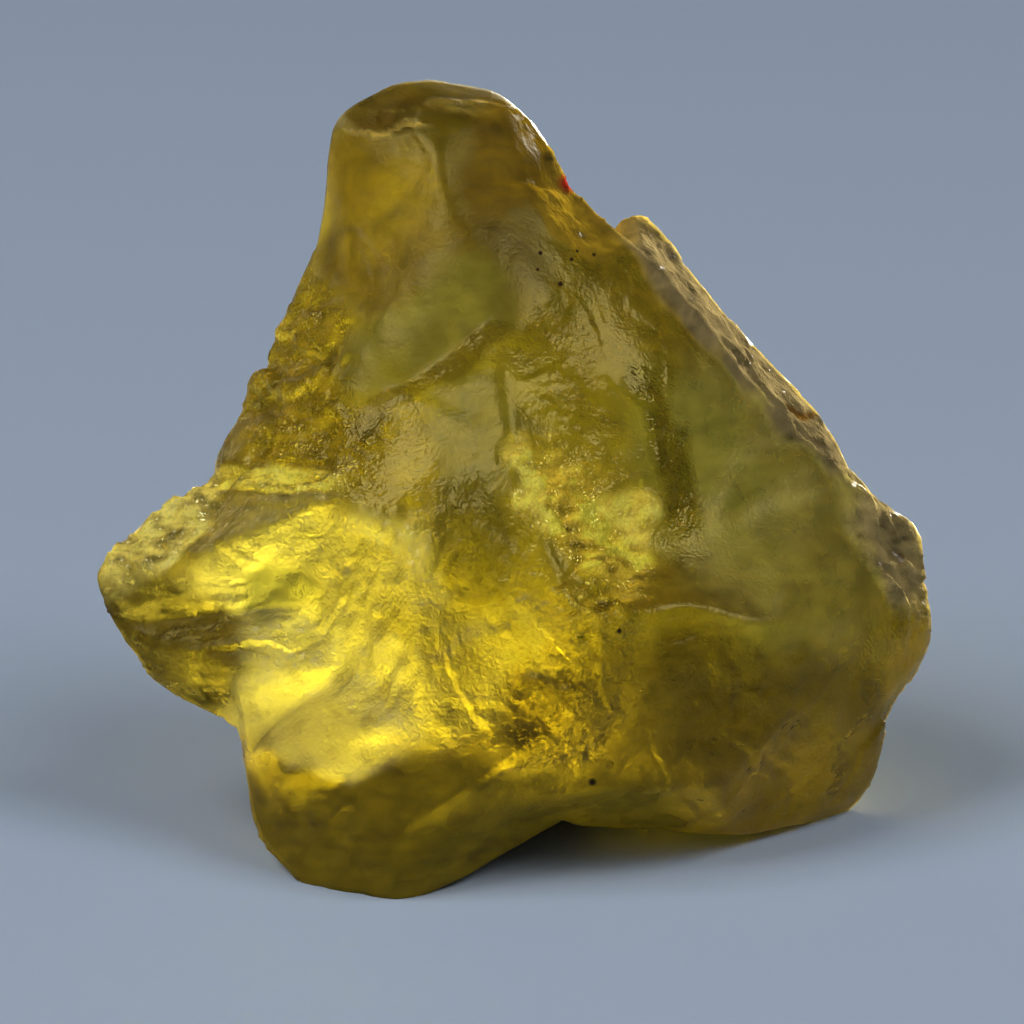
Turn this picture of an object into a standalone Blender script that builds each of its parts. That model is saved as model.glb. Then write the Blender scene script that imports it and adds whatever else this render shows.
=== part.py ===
"""Rough topaz: one broken, flaked crystal that stands on small flats under its foot, its lobe and its back.

Every corner is given in the stone's own frame, in millimetres: across to the right, back away from the
broken front, and up. That frame leans back by LEAN to stand the stone as it rests.
"""

import math

import bmesh
import bpy
import numpy as np
from mathutils import Vector, noise

MM = 0.001
LEAN = math.radians(18)
HEART = (0.3, 0.6, 11.6)  # every part of the surface can be seen from here

RIM = {
    "knob_crest_left": (-6.2, 0.0, 27.9),
    "knob_crest_rise": (-4.9, 0.5, 28.6),
    "knob_crest_high": (-3.7, 0.8, 29.2),
    "knob_crest_middle": (-1.5, 1.0, 28.9),
    "knob_crest_right": (0.1, 0.6, 28.5),
    "knob_right_upper": (1.4, 0.3, 26.7),
    "knob_right_lower": (2.6, 0.5, 24.6),
    "saddle": (3.5, 1.6, 23.8),
    "shoulder_bump_left": (4.4, 2.0, 24.4),
    "shoulder_bump_right": (5.2, 2.2, 24.0),
    "skin_top": (7.0, 2.6, 21.5),
    "skin_middle": (8.8, 2.8, 19.4),
    "skin_low": (11.1, 2.6, 17.3),
    "skin_notch": (12.5, 2.6, 14.5),
    "rind_left": (13.7, 3.4, 13.9),
    "rind_top": (14.8, 3.6, 13.1),
    "right_point": (15.1, 2.2, 10.5),
    "right_lower": (15.1, 1.5, 8.6),
    "flank_notch": (13.5, 1.6, 6.3),
    "lobe_side": (13.2, 2.0, 4.6),
    "lobe_corner": (12.8, 2.8, 3.3),
    "lobe_foot": (11.6, 3.8, 2.2),
    "brow_right": (10.4, 1.0, 2.4),
    "brow_middle": (8.1, -0.6, 2.1),
    "brow_left": (4.0, -1.6, 2.3),
    "brow_notch": (1.6, -2.4, 2.5),
    "foot_right": (-1.0, -3.6, 1.1),
    "foot_toe": (-4.0, -5.0, -0.2),
    "foot_left": (-7.3, -3.6, 0.4),
    "foot_heel": (-9.0, -2.2, 2.0),
    "foot_side": (-9.5, -1.6, 4.4),
    "notch_left": (-9.9, -1.2, 6.0),
    "spur_keel": (-12.8, -1.0, 7.4),
    "spur_under": (-14.2, -0.8, 9.5),
    "spur_tip": (-14.9, -0.4, 11.4),
    "spur_top": (-13.4, -0.2, 13.3),
    "spur_root": (-10.9, 0.0, 14.7),
    "flank_chip": (-10.6, 0.0, 15.5),
    "flank_low": (-9.8, 0.4, 16.6),
    "flank_middle": (-8.3, 0.4, 20.4),
    "flank_high": (-6.7, 0.2, 23.5),
    "neck": (-6.2, 0.4, 25.4),
    "knob_lip": (-6.6, -0.2, 26.9),
}
FRONT = {
    "knob_ridge_left": (-5.4, -1.4, 27.0),
    "knob_ridge_middle": (-2.7, -2.6, 27.2),
    "knob_ridge_right": (-0.4, -1.4, 27.6),
    "knob_face": (-2.4, -3.6, 24.2),
    "neck_front": (-5.9, -1.5, 24.2),
    "knob_side": (1.0, -2.6, 24.2),
    "knob_base_left": (-5.8, -2.4, 21.6),
    "knob_base": (-2.9, -4.2, 21.6),
    "pane_apex": (0.6, -4.6, 21.4),
    "shoulder_front": (3.2, -2.8, 21.9),
    "shoulder_ridge": (4.9, -0.8, 22.8),
    "pane_low_left": (-5.9, -4.0, 17.2),
    "pane_low_right": (-0.4, -5.3, 18.6),
    "spine_top": (-0.1, -5.9, 17.0),
    "spine_middle": (0.1, -6.9, 14.6),
    "spine_low": (1.4, -7.6, 11.9),
    "spine_end": (1.9, -8.0, 9.6),
    "flank_front": (-7.9, -1.8, 17.6),
    "ledge_left": (-10.2, -1.3, 15.2),
    "ledge_left_under": (-10.1, -1.7, 14.6),
    "ledge_right": (-6.2, -4.4, 14.9),
    "ledge_right_under": (-6.2, -4.9, 14.3),
    "bowl_rim_top": (-3.6, -6.2, 12.6),
    "bowl_rim_right": (-1.6, -6.8, 10.0),
    "bowl_heart": (-7.2, -2.9, 10.4),
    "bowl_low": (-6.0, -3.8, 8.0),
    "spur_ridge": (-11.4, -2.6, 11.9),
    "spur_corner": (-9.9, -3.4, 8.2),
    "bowl_lip_left": (-9.2, -2.8, 5.6),
    "instep_left": (-7.8, -4.6, 5.2),
    "instep_middle": (-3.0, -7.2, 6.6),
    "instep_right": (0.8, -7.0, 5.4),
    "belly_low": (2.4, -7.4, 7.2),
    "belly_right": (4.8, -6.4, 7.6),
    "scar_top": (2.4, -4.2, 18.2),
    "scar_left": (3.2, -4.3, 15.6),
    "scar_right": (4.7, -4.5, 12.2),
    "window_top_left": (5.2, -3.6, 17.8),
    "window_low_left": (6.4, -5.7, 10.6),
    "window_low": (9.2, -4.7, 9.6),
    "window_low_right": (13.2, -0.6, 10.0),
    "window_right": (11.8, 0.2, 14.6),
    "window_top": (8.6, -0.8, 18.2),
    "cheek": (10.0, -3.4, 6.8),
    "cheek_low": (7.2, -4.4, 3.9),
    "cheek_right": (12.6, -0.8, 6.4),
    "lobe_front": (11.4, 0.4, 3.6),
    "shin": (3.6, -5.0, 4.0),
    "foot_front": (-4.0, -6.4, 2.6),
    "foot_front_left": (-7.2, -4.4, 3.0),
    "foot_front_right": (-0.6, -5.2, 3.0),
}
BACK = {
    "back_knob": (-3.0, 3.6, 27.0),
    "back_knob_right": (0.4, 3.6, 25.0),
    "back_neck": (-4.6, 4.2, 22.6),
    "back_saddle": (2.8, 5.0, 21.4),
    "back_flank": (-7.6, 3.6, 17.6),
    "back_middle": (-1.0, 7.6, 16.4),
    "back_shoulder": (6.6, 6.0, 17.2),
    "back_skin": (10.8, 5.2, 14.2),
    "back_spur": (-11.8, 2.6, 11.4),
    "back_spur_low": (-9.8, 4.2, 8.2),
    "back_left": (-5.6, 7.4, 10.8),
    "back_ridge": (1.6, 9.4, 11.6),
    "back_right": (8.4, 8.0, 10.4),
    "back_right_edge": (13.2, 5.6, 9.4),
    "back_low_right": (10.0, 7.4, 6.2),
    "back_low": (3.0, 9.2, 6.8),
    "back_low_left": (-4.4, 7.6, 6.4),
}
UNDERSIDE = {
    "sole": (-4.8, -3.4, -0.6),
    "arch_left": (-5.6, 1.0, 2.8),
    "arch_middle": (2.0, 1.5, 3.2),
    "base_back_left": (-4.4, 6.4, 2.8),
    "base_back_right": (5.6, 7.2, 3.0),
    "base_right": (10.2, 4.8, 2.2),
    "arch_back": (0.8, 5.4, 4.7),
    "arch_right": (8.0, 5.0, 4.1),
}

CUTS = 5
EASE_ROUNDS = 14
EASE_STEP = 0.5
EASE_MOST = 0.45
ALIKE = 0.006  # how far two normals may part (1 - cosine) before a ridge counts as crisp

# Broken ledges, one after the other: middle, reach, the way they run down, their spacing and their drop.
LEDGES = {
    "flank": ((-8.6, -1.6, 18.4), 4.6, (0.35, 0.0, -1.0), 1.9, 0.40),
    "spur_edge": ((-12.6, -0.8, 13.0), 3.4, (1.0, 0.0, 0.45), 1.3, 0.35),
    "scar": ((2.9, -5.2, 14.4), 3.8, (0.6, 0.0, -1.0), 1.7, 0.28),
    "cheek": ((9.2, -4.0, 5.6), 4.6, (1.0, 0.0, 0.15), 2.1, 0.26),
    "rind": ((13.8, 1.8, 12.0), 4.0, (0.5, 0.3, -1.0), 1.7, 0.30),
    "knob_side": ((1.4, -1.6, 25.6), 3.4, (0.6, 0.0, -1.0), 1.8, 0.25),
    "foot": ((-6.6, -4.8, 3.0), 3.6, (0.3, 0.0, -1.0), 1.6, 0.25),
    "back_high": ((-2.6, 5.2, 21.0), 5.0, (0.4, 0.0, -1.0), 2.6, 0.45),
    "back_low": ((3.4, 8.6, 10.0), 7.5, (0.8, 0.0, -1.0), 2.9, 0.45),
}
# Shell-shaped ripples: where they spread from, middle, reach, spacing and height.
RIPPLES = {
    "bowl": ((-10.6, -3.0, 13.4), (-5.8, -4.6, 8.6), 5.6, 1.9, 0.13),
    "pane": ((0.8, -4.0, 22.0), (-2.8, -4.6, 18.8), 4.4, 1.7, 0.06),
    "window": ((13.0, 0.0, 9.0), (9.0, -2.8, 13.6), 6.0, 2.4, 0.06),
    "back_left": ((-10.0, 4.0, 15.0), (-6.0, 6.4, 11.0), 6.5, 2.4, 0.20),
}
# Places left smooth: middle and reach.
CALM = {
    "knob_face": ((-3.0, -3.0, 24.6), 3.4),
    "pane": ((-2.6, -4.8, 19.2), 4.0),
    "window": ((9.0, -2.8, 14.0), 5.5),
    "foot_rest": ((-4.2, -4.4, 0.0), 3.2),
    "lobe_rest": ((10.6, 4.4, 3.0), 3.2),
    "back_rest_left": ((-4.2, 5.6, 3.4), 3.2),
    "back_rest_right": ((5.8, 6.4, 3.6), 3.2),
}
LUMP_SIZE = 3.8
LUMP_HEIGHT = 0.13
CHIP_SIZE = 1.3
CHIP_HEIGHT = 0.05

FLOOR = 1.62  # the height at which the leaning stone is cut flat
SNAP = 0.02
CREASE = math.radians(24)


def clear_scene():
    for thing in list(bpy.data.objects):
        bpy.data.objects.remove(thing, do_unlink=True)


def cage():
    """The corners wrapped in triangles: they are drawn onto a ball about the heart, hulled, and let out again."""
    heart = Vector(HEART)
    corners = [Vector(place) for group in (RIM, FRONT, BACK, UNDERSIDE) for place in group.values()]
    wrapped = bmesh.new()
    by_corner = {wrapped.verts.new((place - heart).normalized()): place for place in corners}
    bmesh.ops.convex_hull(wrapped, input=wrapped.verts)
    for corner, place in by_corner.items():
        corner.co = place
    bmesh.ops.subdivide_edges(wrapped, edges=wrapped.edges, cuts=CUTS, use_grid_fill=True)
    bmesh.ops.triangulate(wrapped, faces=wrapped.faces)
    return wrapped


def normals_at(places, facets):
    """The outward direction at every point: the directions of its facets added up by area."""
    first, second, third = (places[facets[:, side]] for side in range(3))
    across = np.cross(second - first, third - first)
    normals = np.zeros_like(places)
    for side in range(3):
        np.add.at(normals, facets[:, side], across)
    return normals / np.linalg.norm(normals, axis=1, keepdims=True)


def ease(places, facets, pairs):
    """Points are drawn towards the neighbours that face the same way, so facets pull flat and ridges stay crisp."""
    set_at = places.copy()
    here = np.concatenate([pairs[:, 0], pairs[:, 1]])
    there = np.concatenate([pairs[:, 1], pairs[:, 0]])
    for _ in range(EASE_ROUNDS):
        normals = normals_at(places, facets)
        parting = 1 - (normals[here] * normals[there]).sum(axis=1)
        weight = np.exp(-parting / ALIKE)
        pull = np.zeros_like(places)
        total = np.zeros(len(places))
        np.add.at(pull, here, weight[:, None] * (places[there] - places[here]))
        np.add.at(total, here, weight)
        places = places + EASE_STEP * pull / (total[:, None] + 1e-6)
        moved = places - set_at
        length = np.linalg.norm(moved, axis=1, keepdims=True) + 1e-9
        places = set_at + moved / length * EASE_MOST * np.tanh(length / EASE_MOST)
    return places


def nearness(places, middle, reach):
    """1 at the middle of a place and 0 beyond its reach, with a soft fade between."""
    left = np.clip(1 - np.linalg.norm(places - np.array(middle), axis=1) / reach, 0, 1)
    return left * left * (3 - 2 * left)


def lumps(places, size):
    return np.array([noise.noise(Vector(place) / size) for place in places])


def relief(places):
    """How far the broken surface rises over the eased one, in millimetres."""
    coarse = lumps(places, LUMP_SIZE)
    fine = lumps(places + 40.0, CHIP_SIZE)
    calm = np.zeros(len(places))
    for middle, reach in CALM.values():
        calm = np.maximum(calm, nearness(places, middle, reach))
    rise = (LUMP_HEIGHT * coarse + CHIP_HEIGHT * fine) * (1 - 0.85 * calm)
    for middle, reach, run, spacing, drop in LEDGES.values():
        way = np.array(run) / np.linalg.norm(run)
        turn = ((places - np.array(middle)) @ way) / spacing + 0.9 * coarse
        ledge = np.sin(2 * math.pi * turn) + 0.45 * np.sin(4 * math.pi * turn)
        rise = rise + 0.4 * drop * ledge * nearness(places, middle, reach)
    for source, middle, reach, spacing, height in RIPPLES.values():
        spread = np.linalg.norm(places - np.array(source), axis=1) / spacing
        rise = rise + height * np.sin(2 * math.pi * spread) * nearness(places, middle, reach)
    return rise


def lean_back(places):
    """The same stone the way it stands, still in millimetres."""
    across, back, up = places.T
    return np.stack(
        [across, back * math.cos(LEAN) + up * math.sin(LEAN), up * math.cos(LEAN) - back * math.sin(LEAN)], axis=1
    )


def wear_flat(wrapped):
    """Cuts away what is under the floor and closes each cut with a flat face to rest on."""
    bmesh.ops.bisect_plane(
        wrapped,
        geom=list(wrapped.verts) + list(wrapped.edges) + list(wrapped.faces),
        dist=SNAP,
        plane_co=(0, 0, FLOOR),
        plane_no=(0, 0, -1),
        clear_outer=True,
    )
    for corner in wrapped.verts:
        if corner.co.z < FLOOR + SNAP:
            corner.co.z = FLOOR
    bmesh.ops.holes_fill(wrapped, edges=[edge for edge in wrapped.edges if edge.is_boundary], sides=0)
    bmesh.ops.triangulate(wrapped, faces=wrapped.faces)


def to_row(wrapped):
    """Centres the stone over the origin, with its flats on the ground, and takes it to metres."""
    places = np.array([corner.co for corner in wrapped.verts])
    middle = (places.min(axis=0) + places.max(axis=0)) / 2
    for corner, place in zip(wrapped.verts, places):
        corner.co = (place - (middle[0], middle[1], FLOOR)) * MM


def topaz_material():
    material = bpy.data.materials.new("topaz")
    material.use_nodes = True
    shader = material.node_tree.nodes["Principled BSDF"]
    shader.inputs["Base Color"].default_value = (0.60, 0.46, 0.10, 1.0)
    shader.inputs["Roughness"].default_value = 0.15
    shader.inputs["IOR"].default_value = 1.61
    shader.inputs["Transmission Weight"].default_value = 1.0
    return material


def main():
    clear_scene()
    wrapped = cage()
    wrapped.verts.index_update()
    places = np.array([corner.co for corner in wrapped.verts])
    facets = np.array([[corner.index for corner in facet.verts] for facet in wrapped.faces])
    pairs = np.array([[corner.index for corner in edge.verts] for edge in wrapped.edges])
    places = ease(places, facets, pairs)
    places = places + normals_at(places, facets) * relief(places)[:, None]
    for corner, place in zip(wrapped.verts, lean_back(places)):
        corner.co = place
    wear_flat(wrapped)
    to_row(wrapped)
    mesh = bpy.data.meshes.new("topaz")
    wrapped.to_mesh(mesh)
    wrapped.free()
    mesh.polygons.foreach_set("use_smooth", [True] * len(mesh.polygons))
    mesh.set_sharp_from_angle(angle=CREASE)
    mesh.materials.append(topaz_material())
    stone = bpy.data.objects.new("topaz", mesh)
    bpy.context.scene.collection.objects.link(stone)


if __name__ == "__main__":
    main()
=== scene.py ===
"""Rough topaz on a pale floor: the looks of the stone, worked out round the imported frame.

Places on the stone are given face-on, in millimetres from the point the camera aims at: across to the right,
away from the camera, and up as it sees up. face_on() turns row coordinates into these, and a Mapping node
does the same for the material.
"""

import math

import bpy
import numpy as np
from bpy.props import FloatProperty, FloatVectorProperty, PointerProperty
from mathutils import Matrix, Vector


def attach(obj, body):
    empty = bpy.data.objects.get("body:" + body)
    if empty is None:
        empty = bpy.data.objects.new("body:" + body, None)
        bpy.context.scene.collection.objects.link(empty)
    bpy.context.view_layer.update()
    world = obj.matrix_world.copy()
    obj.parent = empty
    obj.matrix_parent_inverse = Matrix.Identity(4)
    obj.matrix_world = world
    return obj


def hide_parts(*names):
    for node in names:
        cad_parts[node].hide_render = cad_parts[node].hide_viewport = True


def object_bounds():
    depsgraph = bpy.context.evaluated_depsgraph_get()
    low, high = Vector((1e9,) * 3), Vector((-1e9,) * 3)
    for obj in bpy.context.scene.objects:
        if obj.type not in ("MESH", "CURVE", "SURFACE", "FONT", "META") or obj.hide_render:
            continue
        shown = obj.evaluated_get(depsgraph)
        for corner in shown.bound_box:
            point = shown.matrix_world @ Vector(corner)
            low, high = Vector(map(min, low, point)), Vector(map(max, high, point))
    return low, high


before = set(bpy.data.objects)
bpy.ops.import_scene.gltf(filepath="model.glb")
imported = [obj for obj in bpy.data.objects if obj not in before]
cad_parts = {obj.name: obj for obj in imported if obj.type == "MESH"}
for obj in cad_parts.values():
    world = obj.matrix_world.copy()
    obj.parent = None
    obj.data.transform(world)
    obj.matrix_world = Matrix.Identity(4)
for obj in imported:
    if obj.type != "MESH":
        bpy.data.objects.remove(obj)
CAD_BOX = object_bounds()

bl_info = {
    "name": "Rough Topaz",
    "version": (1, 0, 0),
    "blender": (4, 5, 0),
    "location": "3D View > Sidebar > Topaz",
    "description": "Makes a rough topaz, with its clear golden body and its broken surface, on a pale floor",
    "category": "Add Mesh",
}

MM = 0.001
NODE = "topaz"
CAMERA_RISE = math.radians(18)
CAMERA_FAR = 0.21
VIEW_WIDE = 0.03657  # what the camera takes in at the stone, side to side
SENSOR_WIDE = 36.0
AIM = Vector((-0.15, 0.61, 11.31)) * MM

SPLITS = 4  # each side of a packed triangle is cut in this many
EASE_ROUNDS = 10
EASE_STEP = 0.5
EASE_MOST = 0.10
ALIKE = 0.010  # how far two normals may part (1 - cosine) before a ridge counts as crisp


# Where the break is stepped: middle, reach, the way the steps run down, their spacing and their height.
LEDGES = {
    "flank": ((-8.4, -1.6, 5.0), 5.0, (0.35, 0.0, -1.0), 1.30, 0.17),
    "shelf": ((-8.0, -3.4, 1.4), 2.6, (0.1, 0.0, -1.0), 0.80, 0.12),
    "spur_edge": ((-12.6, -0.8, -0.4), 3.8, (1.0, 0.0, 0.45), 0.75, 0.14),
    "scar": ((3.0, -5.2, 0.0), 3.4, (0.6, 0.0, -1.0), 0.90, 0.10),
    "bowl_edge": ((-3.4, -5.0, -2.4), 3.6, (1.0, 0.0, -0.5), 0.90, 0.08),
    "cheek": ((8.2, -4.0, -7.6), 5.0, (1.0, 0.0, 0.15), 1.10, 0.07),
    "foot": ((-5.4, -4.6, -10.6), 4.6, (0.7, 0.0, -1.0), 1.20, 0.03),
    "back_high": ((-2.0, 5.2, 6.6), 8.0, (0.5, 0.0, -1.0), 2.10, 0.12),
    "back_low": ((3.4, 8.6, -4.6), 11.0, (-0.8, 0.0, -1.0), 2.30, 0.12),
}
# Shell-shaped ripples: where they spread from, middle, reach, spacing and height.
RIPPLES = {
    "bowl": ((-10.6, -3.0, 1.0), (-6.2, -4.4, -4.4), 6.5, 1.20, 0.018),
    "pane": ((0.8, -4.0, 8.4), (-2.8, -4.6, 5.2), 4.8, 1.10, 0.010),
    "knob": ((-5.6, -1.0, 13.6), (-2.6, -2.8, 11.4), 4.6, 1.30, 0.014),
    "foot": ((-9.0, -4.0, -8.0), (-4.6, -5.0, -10.6), 5.0, 1.00, 0.020),
    "window": ((13.0, -1.0, -5.0), (9.4, -3.0, -0.6), 6.0, 1.50, 0.010),
    "back": ((5.0, 4.0, 9.0), (2.0, 7.0, -1.0), 13.0, 1.90, 0.030),
}
# Flakes all over, where the break is grainy: size, tilt, and how much longer than wide.
FLAKES = ((3.4, 0.09, 1.4), (1.4, 0.11, 1.8), (0.65, 0.15, 1.0))
FLAKES_RUN = (0.5, 0.3, -0.8)
# Pitted places: middle, reach, size of a pit and its depth.
PITS = {
    "scar": ((2.6, -5.4, 1.4), 3.8, 0.45, 0.09),
    "rind": ((13.8, 2.4, -1.0), 4.5, 0.60, 0.10),
    "bowl_low": ((-4.6, -5.2, -6.0), 3.4, 0.45, 0.10),
    "back": ((0.0, 8.0, 0.0), 16.0, 0.80, 0.045),
}
LUMP_SIZE = 1.8
LUMP_HEIGHT = 0.05
FINE_SIZE = 0.45
FINE_HEIGHT = 0.016
REST_FADE = 0.8  # the break is left out this far above the floor, so that the flats stay flat

# How the crystal looks across the front of the stone, as soft patches laid over each other in this order:
# middle across and up, half width and half height, turn in degrees, tint, roughness, how grainy the break is,
# and how much of its skin is frosted, which is all of it from 1 on. Many tints also paint light and shade into
# the colour, the same in any light: painted shade where the crystal looks dark, painted glow where it looks
# bright.
PATCHES = {
    "front": ((0.0, 0.0), (30.0, 30.0), 0, (0.52, 0.415, 0.05), 0.20, 0.22, 0.20),
    "right_flank": ((4.6, 7.6), (3.6, 4.0), -50, (0.40, 0.30, 0.03), 0.20, 0.15, 0.25),
    # Painted shade: the knob's face is tinted dark brown, as light inside the crystal leaves it dark.
    "knob_face": ((-2.9, 10.8), (4.6, 4.6), 0, (0.13, 0.078, 0.001), 0.38, 0.10, 0.17),
    "flank": ((-7.6, 4.4), (2.6, 4.2), 20, (0.36, 0.27, 0.018), 0.20, 0.80, 0.35),
    "window": ((9.4, 0.6), (4.4, 5.6), 35, (0.48, 0.455, 0.20), 0.28, 0.05, 0.25),
    "pane": ((-2.9, 6.2), (3.6, 1.8), 38, (0.21, 0.20, 0.068), 0.36, 0.05, 0.27),
    "pane_low": ((-1.4, 2.6), (1.6, 2.8), 15, (0.26, 0.24, 0.05), 0.28, 0.10, 0.20),
    "band": ((-2.9, 4.6), (3.6, 0.5), 34, (0.17, 0.13, 0.01), 0.20, 0.25, 0.30),
    # Painted shade: darker along the spine.
    "spine_shade": ((-0.3, -1.9), (1.7, 2.2), 10, (0.28, 0.24, 0.045), 0.24, 0.40, 0.20),
    "dark_band": ((5.4, 2.2), (0.9, 3.4), 12, (0.26, 0.21, 0.03), 0.18, 0.50, 0.20),
    # Partly painted glow: the bowl is tinted pale where light gathers in it.
    "bowl": ((-6.0, -4.0), (5.6, 4.4), -10, (0.44, 0.43, 0.28), 0.42, 0.70, 0.27),
    "bowl_grey": ((-8.2, -3.0), (1.3, 1.1), 20, (0.16, 0.17, 0.09), 0.26, 0.20, 0.45),
    # Painted glow: a bright crescent over the bowl.
    "crescent_painted_glow": ((-4.2, -0.8), (1.6, 0.7), -40, (1.0, 0.94, 0.48), 0.42, 0.60, 0.50),
    "middle": ((-0.8, -5.4), (3.6, 2.4), 0, (0.22, 0.21, 0.12), 0.42, 0.60, 0.27),
    # Painted glow: the scar and the belly are tinted bright gold where light comes out from inside.
    "scar": ((2.6, -0.4), (3.0, 1.5), -55, (1.0, 0.79, 0.17), 0.22, 1.30, 0.62),
    "belly": ((3.4, -5.4), (1.8, 3.0), 20, (0.66, 0.52, 0.045), 0.26, 1.20, 0.50),
    # Painted shade: the cheek is tinted dark.
    "cheek": ((8.0, -8.4), (6.6, 4.2), -8, (0.16, 0.12, 0.004), 0.30, 0.30, 0.50),
    # Painted shade under the spur.
    "spur_under": ((-12.0, -4.5), (3.8, 1.9), -42, (0.15, 0.115, 0.009), 0.24, 0.50, 0.75),
    # Pale crust along the spur's top edge, partly a painted highlight.
    "spur_edge": ((-12.6, -0.6), (2.8, 1.1), 38, (1.0, 0.92, 0.50), 0.20, 1.20, 0.85),
    "rind": ((8.6, 5.7), (7.2, 1.15), -47, (0.25, 0.215, 0.25), 0.30, 0.60, 1.90),
    "rind_low": ((13.7, -1.2), (2.6, 1.1), -58, (0.30, 0.26, 0.28), 0.30, 1.00, 1.50),
    # Pale crust on the shelf's ledge, partly a painted highlight.
    "shelf": ((-8.1, 1.2), (2.4, 0.45), -3, (1.0, 0.90, 0.25), 0.25, 1.60, 0.75),
    "knob_edge": ((1.7, 12.1), (3.0, 0.7), -55, (0.24, 0.17, 0.03), 0.30, 0.60, 1.90),
    "knob_cut": ((-1.6, 14.35), (1.5, 0.35), -8, (0.34, 0.27, 0.10), 0.30, 0.60, 0.70),
    "knob_crease": ((-4.2, 13.65), (1.8, 0.12), 0, (0.50, 0.40, 0.20), 0.30, 0.60, 0.95),
    # Painted glow along the left of the scar and in its brightest spot.
    "scar_left": ((0.5, 1.0), (0.45, 1.8), 12, (1.0, 0.86, 0.28), 0.30, 1.00, 0.85),
    "scar_painted_glow": ((4.2, -0.3), (1.1, 0.6), -50, (1.0, 0.87, 0.30), 0.40, 0.90, 0.85),
    "rind_spot": ((10.3, 3.6), (0.35, 0.30), 0, (0.16, 0.09, 0.03), 0.30, 0.90, 1.90),
    "knob_side": ((1.8, 10.5), (2.3, 0.8), -50, (0.30, 0.215, 0.03), 0.30, 0.50, 1.60),
    # Painted glow: a wide pale spot over the bottom of the bowl.
    "painted_glow_wide": ((-6.2, -6.2), (3.2, 2.2), -20, (0.86, 0.86, 0.64), 0.50, 0.60, 0.23),
    # Painted shade: darker beside the spine, round the glow of the bowl.
    "spine_painted_shade": ((-1.3, -1.2), (1.4, 2.6), 12, (0.09, 0.08, 0.02), 0.24, 0.40, 0.25),
    # Painted shade low on the belly, near the floor.
    "belly_low": ((1.6, -7.2), (2.2, 1.9), 10, (0.12, 0.09, 0.008), 0.26, 0.60, 0.60),
    # Painted shade: dark crust over the right of the knob, which also hides a reflection there.
    "knob_right_painted_shade": ((-0.3, 12.4), (1.5, 2.2), -10, (0.20, 0.135, 0.006), 0.40, 0.10, 0.95),
    # Painted shade: the foot is tinted dark all over.
    "foot": ((-3.3, -11.8), (4.6, 3.8), 0, (0.24, 0.185, 0.007), 0.34, 0.08, 0.85),
    "foot_left": ((-8.2, -11.6), (3.0, 3.0), 0, (0.24, 0.185, 0.007), 0.34, 0.08, 0.80),
    "foot_right": ((1.6, -10.8), (4.6, 2.0), 0, (0.22, 0.17, 0.008), 0.28, 0.10, 0.90),
    # Painted glow: the hot spot of the bowl is tinted almost white.
    "painted_glow": ((-6.9, -7.3), (2.8, 1.5), -12, (1.0, 1.0, 0.95), 0.70, 0.40, 0.10),
    "painted_glow_core": ((-6.9, -7.5), (1.7, 0.9), -12, (1.0, 1.0, 1.0), 0.75, 0.20, 0.05),
}
# The same for the back, as the camera sees it through the stone.
BACK_PATCHES = {
    "back": ((0.0, 0.0), (30.0, 30.0), 0, (0.86, 0.68, 0.07), 0.48, 0.50, 0.0),
    "left_back": ((-8.0, 1.0), (6.5, 9.0), 0, (0.74, 0.58, 0.055), 0.44, 0.40, 0.0),
    "knob_back": ((-2.9, 11.0), (6.0, 5.5), 0, (0.74, 0.58, 0.05), 0.45, 0.15, 0.0),
    "window_back": ((9.0, 2.0), (6.0, 6.0), 30, (0.82, 0.74, 0.20), 0.45, 0.25, 0.0),
    "skin_back": ((6.5, 7.1), (9.0, 2.2), -44, (0.40, 0.34, 0.17), 0.36, 0.60, 1.00),
    # Painted shade: an opaque dark crust behind the foot, which keeps light out of it.
    "foot_back_painted_shade": ((-2.2, -11.5), (5.4, 3.4), 0, (0.20, 0.15, 0.01), 0.40, 0.30, 1.60),
    # Painted shade: a dimmer, partly frosted back behind the belly.
    "belly_back_painted_shade": ((4.4, -7.4), (3.6, 2.4), 0, (0.40, 0.31, 0.03), 0.45, 0.60, 0.40),
}

# The edge of a patch: how far it wanders, and where the patch is still full and where it ends, as parts of its
# half width and height.
PATCH_WANDER = 0.9
PATCH_FULL = 0.72
PATCH_END = 1.20
# Uneven colour all over: the size of its clouds, the size and the run of its streaks, and the size and the
# depth of its dark veins.
CLOUD_SIZE = 1.2
STREAK_SIZE = 0.9
STREAK_RUN = (0.8, 1.0, 2.6)
VEIN_SIZE = 2.4
VEIN_DEPTH = 0.16

# Specks in and on the skin: middle across and up, and radius. Those of the first table are dark.
DARK_SPECKS = (
    ((1.0, 9.1), 0.07),
    ((2.1, 8.9), 0.07),
    ((1.7, 8.0), 0.09),
    ((0.9, 8.5), 0.05),
    ((2.3, 9.2), 0.05),
    ((2.9, 9.1), 0.06),
    ((2.8, -9.4), 0.10),
    ((3.7, -4.1), 0.08),
)
RED_SPECKS = (((2.0, 11.75), 0.28),)
SPECK_SOFT = 1.6  # the middle of a speck is this strong, so that its edge is soft and its heart is full
DARK_PAINT = (0.02, 0.008, 0.002, 1.0)
RED_PAINT = (0.30, 0.02, 0.01, 1.0)

# The finest grain, which is bump alone: its size, its height, and the size of the flecks that glint.
CRUMB_SIZE = 0.24
CRUMB_HEIGHT = 0.06
FLECK_SIZE = 0.14
GLINT_FROM = 0.60
GLINT_FULL = 0.67
GLINT_GRAIN = 0.3  # a break less grainy than this doesn't glint
CRUST_ROUGHNESS = 0.75
CRUST_GLOSS = 0.15

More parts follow.
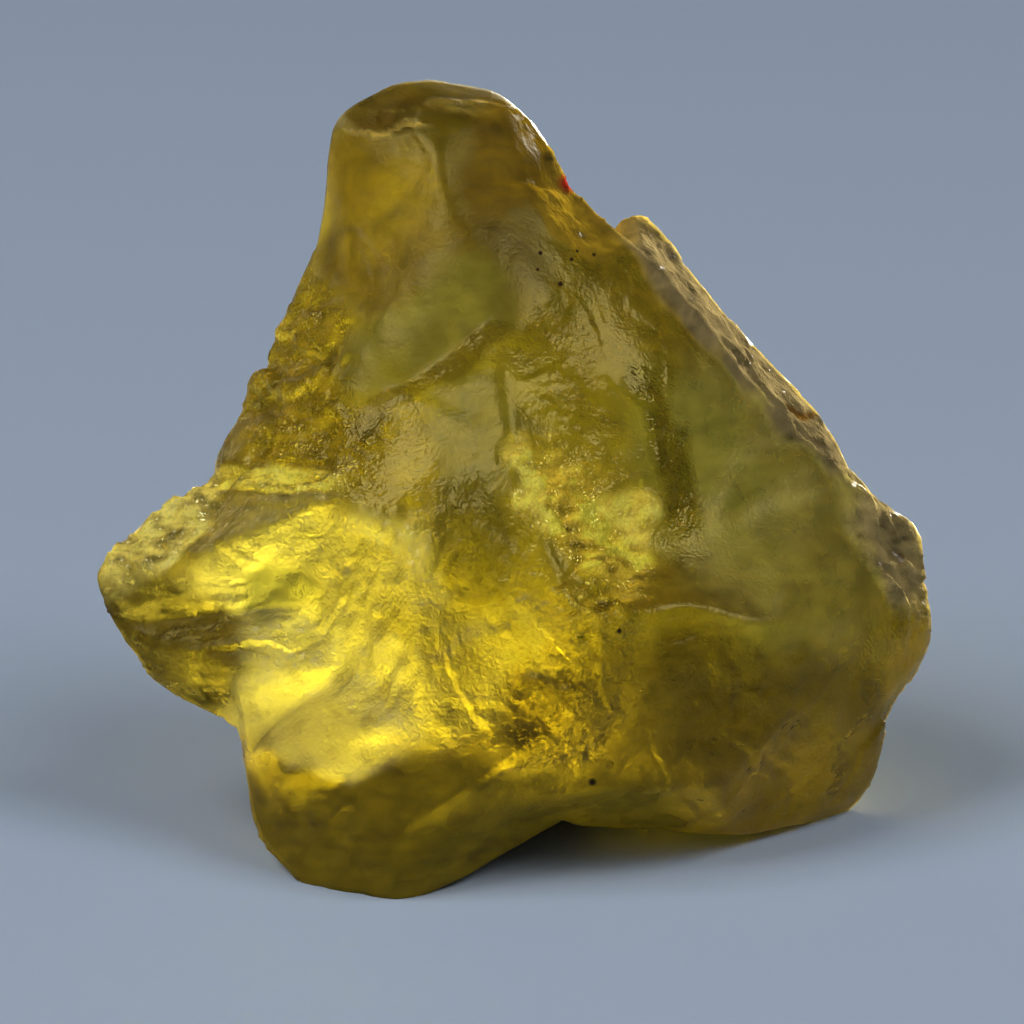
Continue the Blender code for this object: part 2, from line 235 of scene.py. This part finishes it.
# Where each light stands: degrees round the stone, anticlockwise from the camera seen from above, degrees
# above the floor, how far off and how wide in metres, its colour, and whether it lights nothing but the stone.
LIGHTS = {
    "key_left": (297, 50, 0.80, 0.40, (0.96, 0.98, 1.0), False),
    "key_right": (63, 50, 0.80, 0.40, (0.96, 0.98, 1.0), False),
    "glow": (157, 4, 0.45, 0.14, (1.0, 0.98, 0.92), True),
    "glow_middle": (174, 3, 0.45, 0.14, (1.0, 0.98, 0.92), True),
    "edge": (222, 22, 0.45, 0.14, (1.0, 0.90, 0.55), True),
    "front": (350, 40, 0.50, 0.50, (1.0, 0.86, 0.68), False),
}
KEY_LEFT_SHARE = 0.55
NARROW = math.radians(14)  # the spread of a light that lights nothing but the stone
FLOOR_REACH = 3.0


# ---------------------------------------------------------------- surface


def packed_surface(node):
    """Corners, in metres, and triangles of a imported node, its loose triangles joined where they meet."""
    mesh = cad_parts[node].data
    mesh.calc_loop_triangles()
    places = np.empty(len(mesh.vertices) * 3, np.float32)
    mesh.vertices.foreach_get("co", places)
    triangles = np.empty(len(mesh.loop_triangles) * 3, np.int32)
    mesh.loop_triangles.foreach_get("vertices", triangles)
    joined, which = np.unique(places.reshape(-1, 3), axis=0, return_inverse=True)
    return joined.astype(np.float64), which.reshape(-1)[triangles.reshape(-1, 3)]


def split_triangles(places, triangles, splits):
    """Each triangle as a grid in two parameters: first corner + s * first side + t * second side, s + t <= 1.

    Corners and sides are numbered once for the whole stone, so that neighbours share the points between them.
    """
    sides = np.sort(triangles[:, [[0, 1], [1, 2], [2, 0]]], axis=2).reshape(-1, 2)
    unique_sides, side_of = np.unique(sides, axis=0, return_inverse=True)
    side_of = side_of.reshape(-1, 3)
    inner = splits - 1
    side_start = len(places)
    face_start = side_start + len(unique_sides) * inner
    along = np.arange(1, splits)[None, :, None] / splits
    low, high = places[unique_sides[:, 0]][:, None], places[unique_sides[:, 1]][:, None]
    side_places = (low + along * (high - low)).reshape(-1, 3)
    steps = [(i, j) for i in range(splits + 1) for j in range(splits + 1 - i)]
    inside = [(i, j) for i, j in steps if i > 0 and j > 0 and i + j < splits]
    s, t = (np.array(inside).T / splits)[:, None, :, None]
    first, second, third = (places[triangles[:, corner]][:, None] for corner in range(3))
    face_places = (first + s * (second - first) + t * (third - first)).reshape(-1, 3)

    def side_point(corner_from, corner_to, side, step):
        forward = triangles[:, corner_from] < triangles[:, corner_to]
        return side_start + side_of[:, side] * inner + np.where(forward, step, splits - step) - 1

    number = {}
    for i, j in steps:
        if (i, j) == (0, 0):
            number[i, j] = triangles[:, 0]
        elif (i, j) == (splits, 0):
            number[i, j] = triangles[:, 1]
        elif (i, j) == (0, splits):
            number[i, j] = triangles[:, 2]
        elif j == 0:
            number[i, j] = side_point(0, 1, 0, i)
        elif i == 0:
            number[i, j] = side_point(0, 2, 2, j)
        elif i + j == splits:
            number[i, j] = side_point(1, 2, 1, j)
        else:
            number[i, j] = face_start + np.arange(len(triangles)) * len(inside) + inside.index((i, j))
    small = []
    for i, j in steps:
        if i + j < splits:
            small.append(np.stack([number[i, j], number[i + 1, j], number[i, j + 1]], axis=1))
        if i + j < splits - 1:
            small.append(np.stack([number[i + 1, j], number[i + 1, j + 1], number[i, j + 1]], axis=1))
    return np.concatenate([places, side_places, face_places]), np.concatenate(small)


def gathered(values, which, count):
    """Rows of values added up at the points that they belong to."""
    return np.stack([np.bincount(which, column, count) for column in values.T], axis=1)


def normals_at(places, triangles):
    """The outward direction at every point: the directions of its triangles added up by area."""
    first, second, third = (places[triangles[:, corner]] for corner in range(3))
    across = np.cross(second - first, third - first)
    normals = gathered(np.repeat(across, 3, axis=0), triangles.reshape(-1), len(places))
    return normals / (np.linalg.norm(normals, axis=1, keepdims=True) + 1e-30)


def eased(places, triangles):
    """Points drawn towards the neighbours that face the same way: faces pull smooth and ridges stay crisp."""
    pairs = np.unique(np.sort(triangles[:, [[0, 1], [1, 2], [2, 0]]], axis=2).reshape(-1, 2), axis=0)
    here = np.concatenate([pairs[:, 0], pairs[:, 1]])
    there = np.concatenate([pairs[:, 1], pairs[:, 0]])
    start = places
    for _ in range(EASE_ROUNDS):
        normals = normals_at(places, triangles)
        parting = 1 - (normals[here] * normals[there]).sum(axis=1)
        weight = np.exp(-parting / ALIKE)[:, None]
        pull = gathered(weight * (places[there] - places[here]), here, len(places))
        total = gathered(weight, here, len(places)) + 1e-6
        moved = places + EASE_STEP * pull / total - start
        length = np.linalg.norm(moved, axis=1, keepdims=True) + 1e-12
        most = EASE_MOST * MM
        places = start + moved / length * most * np.tanh(length / most)
    return places


def face_on(places):
    """Row coordinates in metres as millimetres across, away and up from the aim.

    The place less the aim, turned about the first axis by the angle at which the camera looks down.
    """
    across, back, up = ((places - np.array(AIM)) / MM).T
    lean = CAMERA_RISE
    away = back * math.cos(lean) - up * math.sin(lean)
    risen = back * math.sin(lean) + up * math.cos(lean)
    return np.stack([across, away, risen], axis=1)


def scrambled(cells, seed):
    """Three numbers from -1 to 1 for every whole-numbered cell, as good as random but the same each run."""
    mixed = (cells @ np.array([73856093, 19349663, 83492791]) + seed * 6364137) & 0xFFFFFFFF
    mixed = ((mixed ^ (mixed >> 15)) * 2246822519) & 0xFFFFFFFF
    mixed = ((mixed ^ (mixed >> 13)) * 3266489917) & 0xFFFFFFFF
    mixed ^= mixed >> 16
    return np.stack([(mixed >> shift & 1023) / 511.5 - 1 for shift in (0, 10, 20)], axis=1)


def noise(places, size, seed):
    """Smooth noise of about -0.7 to 0.7: slopes drawn for the corners of each cell, blended across it."""
    spots = places / size
    cell = np.floor(spots).astype(np.int64)
    part = spots - cell
    blend = part**3 * (part * (part * 6 - 15) + 10)
    total = np.zeros(len(places))
    for corner in np.ndindex(2, 2, 2):
        corner = np.array(corner)
        share = np.where(corner, blend, 1 - blend).prod(axis=1)
        total += share * (scrambled(cell + corner, seed) * (part - corner)).sum(axis=1)
    return total


def nearest_cell(places, size, seed):
    """For points scattered one to a cell: how far the nearest is, the way to it and its own three numbers."""
    spots = places / size
    cell = np.floor(spots).astype(np.int64)
    nearest = np.full(len(places), np.inf)
    way = np.zeros_like(places)
    draw = np.zeros_like(places)
    for step in np.ndindex(3, 3, 3):
        there = cell + np.array(step) - 1
        offset = there + 0.5 + 0.45 * scrambled(there, seed) - spots
        far = np.linalg.norm(offset, axis=1)
        closer = far < nearest
        nearest = np.where(closer, far, nearest)
        way = np.where(closer[:, None], offset, way)
        draw = np.where(closer[:, None], scrambled(there, seed + 1), draw)
    return nearest, way, draw


def nearness(places, middle, reach):
    """1 at the middle of a place and 0 beyond its reach, with a soft fade between."""
    left = np.clip(1.25 * (1 - np.linalg.norm(places - np.array(middle), axis=1) / reach), 0, 1)
    return left * left * (3 - 2 * left)


def ramp(values, low, high):
    """0 below low, 1 above high, and a soft rise between."""
    part = np.clip((values - low) / (high - low), 0, 1)
    return part * part * (3 - 2 * part)


def clouds(places, size, seed):
    """Noise in three sizes, each half as large and half as strong as the last, from 0 to 1."""
    return 0.5 + 0.5 * sum(noise(places, size / 2**step, seed + step) / 2**step for step in range(3))


def finish(places, facing):
    """The tint, the roughness, the grain and the frost at each point, of the back where it faces away.

    Each patch is a rounded block with a soft, wandering edge, laid over those before it: the cube root of the
    summed cubes of how far along and over it a point is, in half widths and half heights, fades it out. Clouds
    and streaks then make the tint uneven, most where the break is grainy, and thin veins darken it where a
    cloud is at its middle value. Streaks also gather the frost.
    """
    wander = np.stack([noise(places, 1.6, seed) for seed in (81, 82)], axis=1)
    across, up = (places[:, [0, 2]] + PATCH_WANDER * wander).T

    def laid(patches):
        """Six columns: red, green and blue of the tint, roughness, grain and frost."""
        looks = np.zeros((len(places), 6))
        for middle, half, turn, tint, roughness, grain, frost in patches.values():
            turn = math.radians(turn)
            along = (across - middle[0]) * math.cos(turn) + (up - middle[1]) * math.sin(turn)
            over = (up - middle[1]) * math.cos(turn) - (across - middle[0]) * math.sin(turn)
            out = (np.abs(along / half[0]) ** 3 + np.abs(over / half[1]) ** 3) ** (1 / 3)
            share = ramp(-out, -PATCH_END, -PATCH_FULL)[:, None]
            looks += (np.array((*tint, roughness, grain, frost)) - looks) * share
        return looks

    front = ramp(facing, -0.25, 0.15)[:, None]
    looks = laid(PATCHES) * front + laid(BACK_PATCHES) * (1 - front)
    plain_tint, plain_roughness, grain, plain_frost = looks[:, :3], looks[:, 3], looks[:, 4], looks[:, 5]
    cloud = clouds(places, CLOUD_SIZE, 90)
    streak = clouds(places * np.array(STREAK_RUN), STREAK_SIZE, 94)
    veins = np.clip(25 * np.abs(clouds(places, VEIN_SIZE, 98) - 0.5), 0, 1)
    uneven = (1 + (0.5 + 0.6 * grain) * (1.5 * cloud + 1.5 * streak - 1.5)).clip(0.1, 2)
    shade = uneven * (1 - VEIN_DEPTH + VEIN_DEPTH * veins)
    tint = np.clip(plain_tint * shade[:, None], 0, 1)
    gathering = np.clip(3.0 * streak - 0.5, 0, 2)
    frost = plain_frost * (1 + np.clip(grain, 0, 1) * (gathering - 1))
    return tint, plain_roughness * (0.7 + 0.6 * cloud), grain, frost


def relief(places, grain):
    """How far the broken surface rises at each point, in millimetres, for places face-on.

    Ledges are a ramp with a sharp fall, repeated along their run. Flakes are planes, each tilted its own way.
    Ripples are a sine of the distance from where they spread. Pits are dips round scattered points.
    """
    wobble = noise(places, 2.2, 1)
    rise = LUMP_HEIGHT * noise(places, LUMP_SIZE, 2) * (0.3 + grain)
    rise += FINE_HEIGHT * noise(places, FINE_SIZE, 3) * grain
    for seed, (middle, reach, run, spacing, height) in enumerate(LEDGES.values(), 10):
        way = np.array(run) / np.linalg.norm(run)
        turn = places @ way / spacing + 1.6 * wobble + 0.5 * noise(places, spacing, seed)
        part = turn - np.floor(turn)
        slope = np.where(part < 0.8, part / 0.8, (1 - part) / 0.2)
        rise += height * (slope - 0.5) * nearness(places, middle, reach)
    way = np.array(FLAKES_RUN) / np.linalg.norm(FLAKES_RUN)
    for seed, (size, tilt, longer) in enumerate(FLAKES, 30):
        bent = places + 0.3 * size * wobble[:, None]
        bent = bent - np.outer(bent @ way, way) * (1 - 1 / longer)
        _, offset, draw = nearest_cell(bent, size, seed)
        rise += tilt * size * (offset * draw).sum(axis=1) * grain
    for source, middle, reach, spacing, height in RIPPLES.values():
        spread = np.linalg.norm(places - np.array(source), axis=1) / spacing + 0.6 * wobble
        rise += height * np.sin(2 * math.pi * spread) * nearness(places, middle, reach)
    for seed, (middle, reach, size, depth) in enumerate(PITS.values(), 60):
        far, _, draw = nearest_cell(places, size, seed)
        dip = np.clip(1 - far / 0.45, 0, 1) * (draw[:, 0] > 0.2)
        rise -= depth * dip * nearness(places, middle, reach)
    return rise


def corner_values(mesh, name, kind, values):
    """Keeps one value for each corner of the mesh as a named attribute, for the material."""
    attribute = mesh.attributes.new(name, kind, "POINT")
    attribute.data.foreach_set("value" if kind == "FLOAT" else "color", np.ravel(values))


def mesh_object(name, places, triangles, material):
    """An object at the origin whose mesh has these points and triangles, drawn smooth."""
    mesh = bpy.data.meshes.new(name)
    mesh.from_pydata(places, [], triangles)
    mesh.polygons.foreach_set("use_smooth", np.ones(len(mesh.polygons), bool))
    mesh.materials.append(material)
    made = bpy.data.objects.new(name, mesh)
    bpy.context.scene.collection.objects.link(made)
    return made


# ---------------------------------------------------------------- materials


class Socket:
    """An output socket that arithmetic can be written on: each operator adds the Math node that does it."""

    def __init__(self, tree, socket):
        self.tree = tree
        self.socket = socket

    def math(self, operation, *values):
        return self.tree.add("ShaderNodeMath", {"operation": operation}, dict(enumerate(values)))

    def __add__(self, other):
        return self.math("ADD", self, other)

    def __sub__(self, other):
        return self.math("SUBTRACT", self, other)

    def __rsub__(self, other):
        return self.math("SUBTRACT", other, self)

    def __mul__(self, other):
        return self.math("MULTIPLY", self, other)

    def __truediv__(self, other):
        return self.math("DIVIDE", self, other)

    def __abs__(self):
        return self.math("ABSOLUTE", self)

    def at_least(self, other):
        return self.math("MAXIMUM", self, other)

    def at_most(self, other):
        return self.math("MINIMUM", self, other)

    __radd__ = __add__
    __rmul__ = __mul__


class Tree:
    """A material's nodes, added one by one and joined as they are added."""

    def __init__(self, name):
        self.material = bpy.data.materials.new(name)
        self.material.use_nodes = True
        self.nodes = self.material.node_tree.nodes
        self.nodes.clear()

    def add(self, kind, settings=None, inputs=None, output=0):
        """One node of a type: its settings first, then the values or links of its sockets."""
        node = self.nodes.new(kind)
        for name, value in (settings or {}).items():
            setattr(node, name, value)
        for name, value in (inputs or {}).items():
            if isinstance(value, Socket):
                self.material.node_tree.links.new(value.socket, node.inputs[name])
            else:
                node.inputs[name].default_value = value
        return Socket(self, node.outputs[output]) if node.outputs else None


def face_on_nodes(tree):
    """Object coordinates as millimetres across, away and up from the aim: face_on() for a material."""
    turn = Matrix.Rotation(CAMERA_RISE, 3, "X")
    settings = {"vector_type": "POINT"}
    values = {"Location": -(turn @ AIM) / MM, "Rotation": (CAMERA_RISE, 0, 0), "Scale": (1 / MM,) * 3}
    values["Vector"] = tree.add("ShaderNodeTexCoord", None, None, 3)
    return tree.add("ShaderNodeMapping", settings, values)


def topaz_material(looks):
    """Clear crystal with a rough crust over it where the skin is frosted.

    The crumb is highest where a noise crosses its middle value, so it is a net of ridges. Flecks of a finer
    noise glint where it is high, and they break up the frost. A speck fades with the distance from its middle.
    """
    tree = Tree("clear topaz")
    places = face_on_nodes(tree)
    flat_places = tree.add("ShaderNodeVectorMath", {"operation": "MULTIPLY"}, {0: places, 1: (1.0, 0.0, 1.0)})

    def spread_noise(size):
        return tree.add("ShaderNodeTexNoise", None, {"Vector": places, "Scale": 1 / size, "Detail": 1.0})

    def held(name, output=2):
        """What the mesh holds under a name: its number, or its colour from output 0."""
        return tree.add("ShaderNodeAttribute", {"attribute_name": name}, None, output)

    def specks(table):
        mask = 0.0
        for (across, up), radius in table:
            ends = {0: flat_places, 1: (across, 0, up)}
            away = tree.add("ShaderNodeVectorMath", {"operation": "DISTANCE"}, ends, 1)
            mask = (SPECK_SOFT - away / radius).at_least(mask)
        return mask.at_most(1.0)

    def marked(below, mask, paint):
        settings = {"data_type": "RGBA", "blend_type": "MIX"}
        return tree.add("ShaderNodeMix", settings, {0: mask, 6: below, 7: paint}, 2)

    grain = held("grain")
    crumb = (0.15 + grain) * (1.0 - 1.6 * abs(spread_noise(CRUMB_SIZE) - 0.5))
    flecks = spread_noise(FLECK_SIZE)
    glints = tree.add(
        "ShaderNodeMapRange",
        {"interpolation_type": "SMOOTHSTEP"},
        {0: flecks + 0.05 * grain, 1: GLINT_FROM, 2: GLINT_FULL, 3: 0.0, 4: 1.0},
    )
    dark, red = specks(DARK_SPECKS), specks(RED_SPECKS)
    # The tint carries the painted shade and painted glow of the patches as well as the crystal's own colour.
    colour = marked(marked(held("tint", 0), dark, DARK_PAINT), red, RED_PAINT)
    bump = tree.add(
        "ShaderNodeBump", None, {"Strength": 1.0, "Distance": CRUMB_HEIGHT * MM, "Height": crumb}
    )
    clear = tree.add(
        "ShaderNodeBsdfPrincipled",
        None,
        {
            "Base Color": colour,
            "Roughness": held("roughness"),
            "Metallic": glints * (grain - GLINT_GRAIN).at_least(0.0),
            "IOR": looks.bending,
            "Transmission Weight": looks.clearness,
            "Specular Tint": (*looks.sheen_colour, 1.0),
            "Normal": bump,
        },
    )
    crust = tree.add(
        "ShaderNodeBsdfPrincipled",
        None,
        {
            "Base Color": tree.add(
                "ShaderNodeVectorMath", {"operation": "MULTIPLY"}, {0: colour, 1: looks.crust_colour}
            ),
            "Roughness": CRUST_ROUGHNESS,
            "Specular IOR Level": CRUST_GLOSS,
            "Normal": bump,
        },
    )
    share = held("frost") * (1.0 + grain * (1.2 * flecks - 0.6))
    skin = tree.add("ShaderNodeMixShader", None, {0: share + dark + red, 1: clear, 2: crust})
    inside = tree.add(
        "ShaderNodeVolumeAbsorption", None, {"Color": (*looks.body_colour, 1.0), "Density": looks.body_depth}
    )
    tree.add("ShaderNodeOutputMaterial", None, {"Surface": skin, "Volume": inside})
    return tree.material


def floor_material(studio):
    """One plain matt colour."""
    tree = Tree("pale floor")
    shader = tree.add(
        "ShaderNodeBsdfPrincipled", None, {"Base Color": (*studio.floor_colour, 1.0), "Roughness": 0.85}
    )
    tree.add("ShaderNodeOutputMaterial", None, {"Surface": shader})
    return tree.material


# ---------------------------------------------------------------- settings


class TopazLooks(bpy.types.PropertyGroup):
    """The stone's own colours and finish."""

    bending: FloatProperty(
        name="Index of refraction", description="How strongly the crystal bends light", default=1.61
    )
    body_colour: FloatVectorProperty(
        name="Body colour",
        description="What the crystal lets through, unit for unit of its depth",
        subtype="COLOR",
        default=(0.912, 0.86, 0.13),
    )
    clearness: FloatProperty(
        name="Clearness",
        description="Share of light that goes in; the rest is scattered by fine veils",
        subtype="FACTOR",
        default=0.95,
    )
    sheen_colour: FloatVectorProperty(
        name="Sheen colour",
        description="Colour of what the clear skin reflects",
        subtype="COLOR",
        default=(1.0, 0.80, 0.28),
    )
    crust_colour: FloatVectorProperty(
        name="Crust colour",
        description="What frosted places scatter back",
        subtype="COLOR",
        default=(1.0, 0.84, 0.27),
    )
    body_depth: FloatProperty(
        name="Absorption", description="How much light the crystal takes up in each metre", default=250.0
    )


class StudioLooks(bpy.types.PropertyGroup):
    """The floor and how strong each light is."""

    floor_colour: FloatVectorProperty(
        name="Floor colour", description="Colour of the floor", subtype="COLOR", default=(0.505, 0.605, 0.765)
    )
    key_power: FloatProperty(
        name="Key lights", description="The two large lights at the sides", unit="POWER", default=4.4
    )
    glow_power: FloatProperty(
        name="Glow light",
        description="Low light behind to the right, for the bowl",
        unit="POWER",
        default=0.26,
    )
    middle_power: FloatProperty(
        name="Middle light", description="Low light behind, for the belly", unit="POWER", default=0.018
    )
    edge_power: FloatProperty(
        name="Edge light",
        description="Light behind to the left, for the flank and the spur",
        unit="POWER",
        default=0.022,
    )
    front_power: FloatProperty(
        name="Front light", description="Weak light from the camera's side", unit="POWER", default=0.2
    )
    room_colour: FloatVectorProperty(
        name="Room colour", description="Colour of the dim room", subtype="COLOR", default=(0.30, 0.34, 0.40)
    )
    room_strength: FloatProperty(name="Room light", description="How bright the room is", default=0.12)


# ---------------------------------------------------------------- operators


class MESH_OT_topaz_stone(bpy.types.Operator):
    """Makes the stone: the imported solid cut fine, its broken surface worked over, in clear golden crystal"""

    bl_idname = "mesh.topaz_stone"
    bl_label = "Stone"

    def execute(self, context):
        looks = context.scene.topaz_looks
        places, triangles = packed_surface(NODE)
        places, triangles = split_triangles(places, triangles, SPLITS)
        places = eased(places, triangles)
        normals = normals_at(places, triangles)
        facing = normals @ np.array([0, -math.cos(CAMERA_RISE), math.sin(CAMERA_RISE)])
        tint, roughness, grain, frost = finish(face_on(places), facing)
        standing = np.clip(places[:, 2] / (REST_FADE * MM), 0, 1)
        rise = relief(face_on(places), grain) * standing * MM
        low, high = CAD_BOX
        places = np.clip(places + normals * rise[:, None], np.array(low), np.array(high))
        stone = mesh_object("topaz_stone", places, triangles, topaz_material(looks))
        # The tint holds the painted shade and painted glow of the patches as well as the crystal's own colour.
        corner_values(stone.data, "tint", "FLOAT_COLOR", np.column_stack([tint, np.ones(len(tint))]))
        corner_values(stone.data, "roughness", "FLOAT", roughness)
        corner_values(stone.data, "grain", "FLOAT", grain)
        corner_values(stone.data, "frost", "FLOAT", frost)
        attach(stone, "root")
        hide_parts(NODE)
        return {"FINISHED"}


def area_light(name, power):
    """A soft square light of the table, aimed at the stone, that the camera doesn't see.

    Its way from the stone is across by the sine of its turn and towards the camera by its cosine, both times
    the cosine of its height, and up by the sine of its height.
    """
    turn, height, far, size, colour, narrow = LIGHTS[name]
    light = bpy.data.lights.new(name, "AREA")
    light.size = size
    light.energy = power
    light.color = colour
    light.spread = NARROW if narrow else math.pi
    turn, height = math.radians(turn), math.radians(height)
    way = Vector((math.sin(turn) * math.cos(height), -math.cos(turn) * math.cos(height), math.sin(height)))
    holder = bpy.data.objects.new(name, light)
    holder.location = AIM + way * far
    holder.rotation_euler = way.to_track_quat("Z", "Y").to_euler()
    holder.visible_camera = False
    holder.visible_glossy = not narrow
    bpy.context.scene.collection.objects.link(holder)
    if narrow:
        lit = bpy.data.collections.new(name + " lights")
        lit.objects.link(bpy.data.objects["topaz_stone"])
        holder.light_linking.receiver_collection = lit


class OBJECT_OT_topaz_studio(bpy.types.Operator):
    """Makes the pale floor, the soft lights and the camera"""

    bl_idname = "object.topaz_studio"
    bl_label = "Studio"

    def execute(self, context):
        studio = context.scene.topaz_studio
        reach = FLOOR_REACH
        corners = [(-reach, -reach, 0), (reach, -reach, 0), (reach, reach, 0), (-reach, reach, 0)]
        mesh = bpy.data.meshes.new("floor")
        mesh.from_pydata(corners, [], [(0, 1, 2, 3)])
        mesh.materials.append(floor_material(studio))
        floor = bpy.data.objects.new("floor", mesh)
        context.scene.collection.objects.link(floor)
        area_light("key_left", KEY_LEFT_SHARE * studio.key_power)
        area_light("key_right", (1 - KEY_LEFT_SHARE) * studio.key_power)
        area_light("glow", studio.glow_power)
        area_light("glow_middle", studio.middle_power)
        area_light("edge", studio.edge_power)
        area_light("front", studio.front_power)
        world = bpy.data.worlds.new("room")
        world.use_nodes = True
        room = world.node_tree.nodes["Background"]
        room.inputs["Color"].default_value = (*studio.room_colour, 1.0)
        room.inputs["Strength"].default_value = studio.room_strength
        context.scene.world = world
        context.scene.view_settings.view_transform = "Standard"
        context.scene.cycles.max_bounces = 6
        context.scene.cycles.diffuse_bounces = 2
        context.scene.cycles.adaptive_threshold = 0.08
        data = bpy.data.cameras.new("camera")
        data.sensor_width = SENSOR_WIDE
        data.lens = SENSOR_WIDE * CAMERA_FAR / VIEW_WIDE
        data.clip_start = 0.01
        camera = bpy.data.objects.new("camera", data)
        facing = Vector((0, math.cos(CAMERA_RISE), -math.sin(CAMERA_RISE)))
        camera.location = AIM - facing * CAMERA_FAR
        camera.rotation_euler = facing.to_track_quat("-Z", "Y").to_euler()
        context.scene.collection.objects.link(camera)
        context.scene.camera = camera
        return {"FINISHED"}


class VIEW3D_PT_topaz(bpy.types.Panel):
    """Lists what makes the stone and its studio."""

    bl_label = "Rough Topaz"
    bl_space_type = "VIEW_3D"
    bl_region_type = "UI"
    bl_category = "Topaz"

    def draw(self, context):
        for group, operator in (
            (context.scene.topaz_looks, MESH_OT_topaz_stone),
            (context.scene.topaz_studio, OBJECT_OT_topaz_studio),
        ):
            box = self.layout.box()
            for name in group.__annotations__:
                box.prop(group, name)
            box.operator(operator.bl_idname)


CLASSES = (TopazLooks, StudioLooks, MESH_OT_topaz_stone, OBJECT_OT_topaz_studio, VIEW3D_PT_topaz)


def register():
    """Makes the classes known, and gives the scene its two groups of settings."""
    for each in CLASSES:
        bpy.utils.register_class(each)
    bpy.types.Scene.topaz_looks = PointerProperty(type=TopazLooks)
    bpy.types.Scene.topaz_studio = PointerProperty(type=StudioLooks)


def unregister():
    """Takes back what register() did."""
    del bpy.types.Scene.topaz_studio
    del bpy.types.Scene.topaz_looks
    for each in reversed(CLASSES):
        bpy.utils.unregister_class(each)


def main():
    """Makes the stone and its studio."""
    register()
    bpy.ops.mesh.topaz_stone()
    bpy.ops.object.topaz_studio()


if __name__ == "__main__":
    main()
